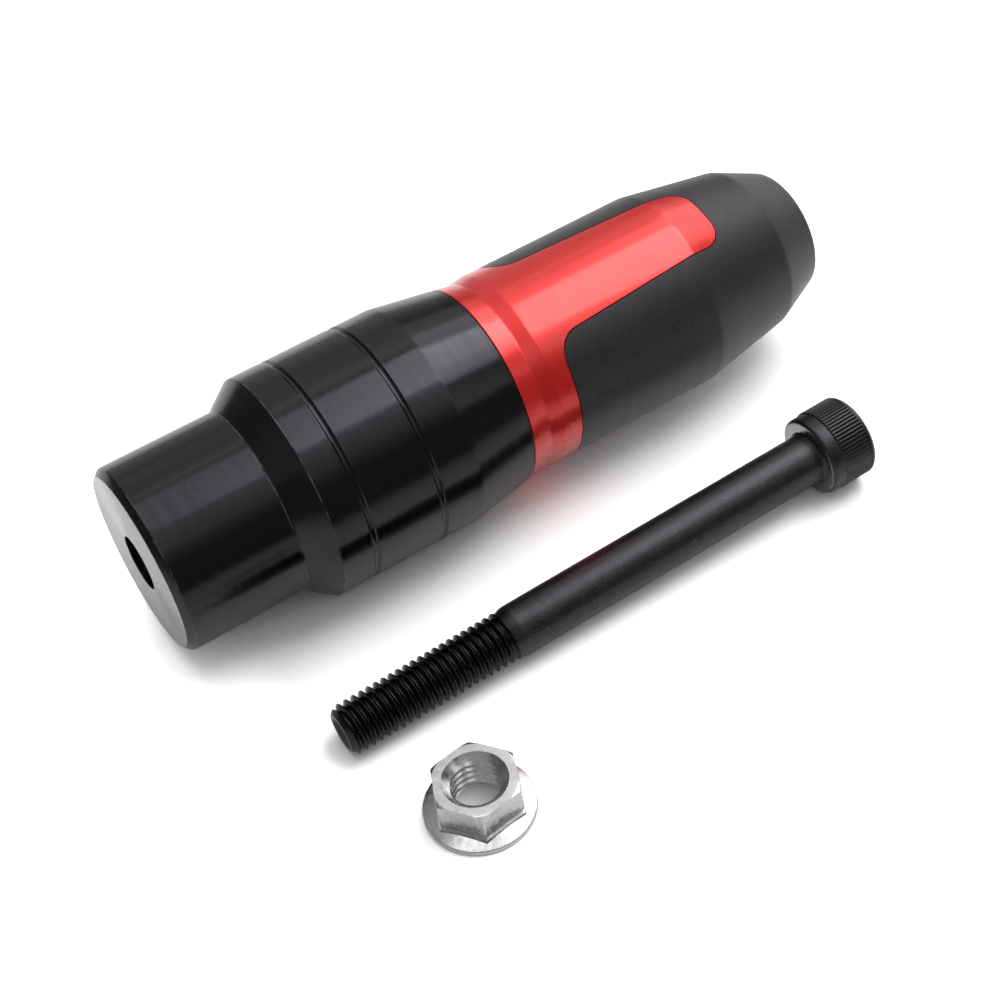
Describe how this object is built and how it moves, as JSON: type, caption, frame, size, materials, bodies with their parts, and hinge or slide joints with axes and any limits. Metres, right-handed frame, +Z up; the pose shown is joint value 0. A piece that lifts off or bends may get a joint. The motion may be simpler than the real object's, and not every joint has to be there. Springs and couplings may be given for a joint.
{
  "type": "motorcycle exhaust slider",
  "caption": "Turned aluminium crash slider with an inlaid ring and a plastic nose, lying beside its own socket head screw and flange nut.",
  "frame": {"origin": "centre of the mounting face, on the axis of the screw's bore", "axes": "+X along the bore from the mounting face to the tip, +Z up from the surface that the slider, its screw and its nut lie on"},
  "size_m": [0.143, 0.0981, 0.044],
  "materials": {
    "black_anodised": "black anodised, turned, satin gloss; bare on the mounting face",
    "red_anodised": "red anodised, brushed along the fingers",
    "black_plastic": "turned engineering plastic, matt",
    "washer_steel": "zinc plated",
    "black_oxide_steel": "black oxide, lightly oiled",
    "bright_zinc": "bright zinc plated"
  },
  "bodies": {
    "root": {"base": "black_anodised", "accent_ring": "red_anodised", "nose": "black_plastic", "seat_washer": "washer_steel", "mounting_screw": "black_oxide_steel", "flange_nut": "bright_zinc"}
  },
  "joints": []
}
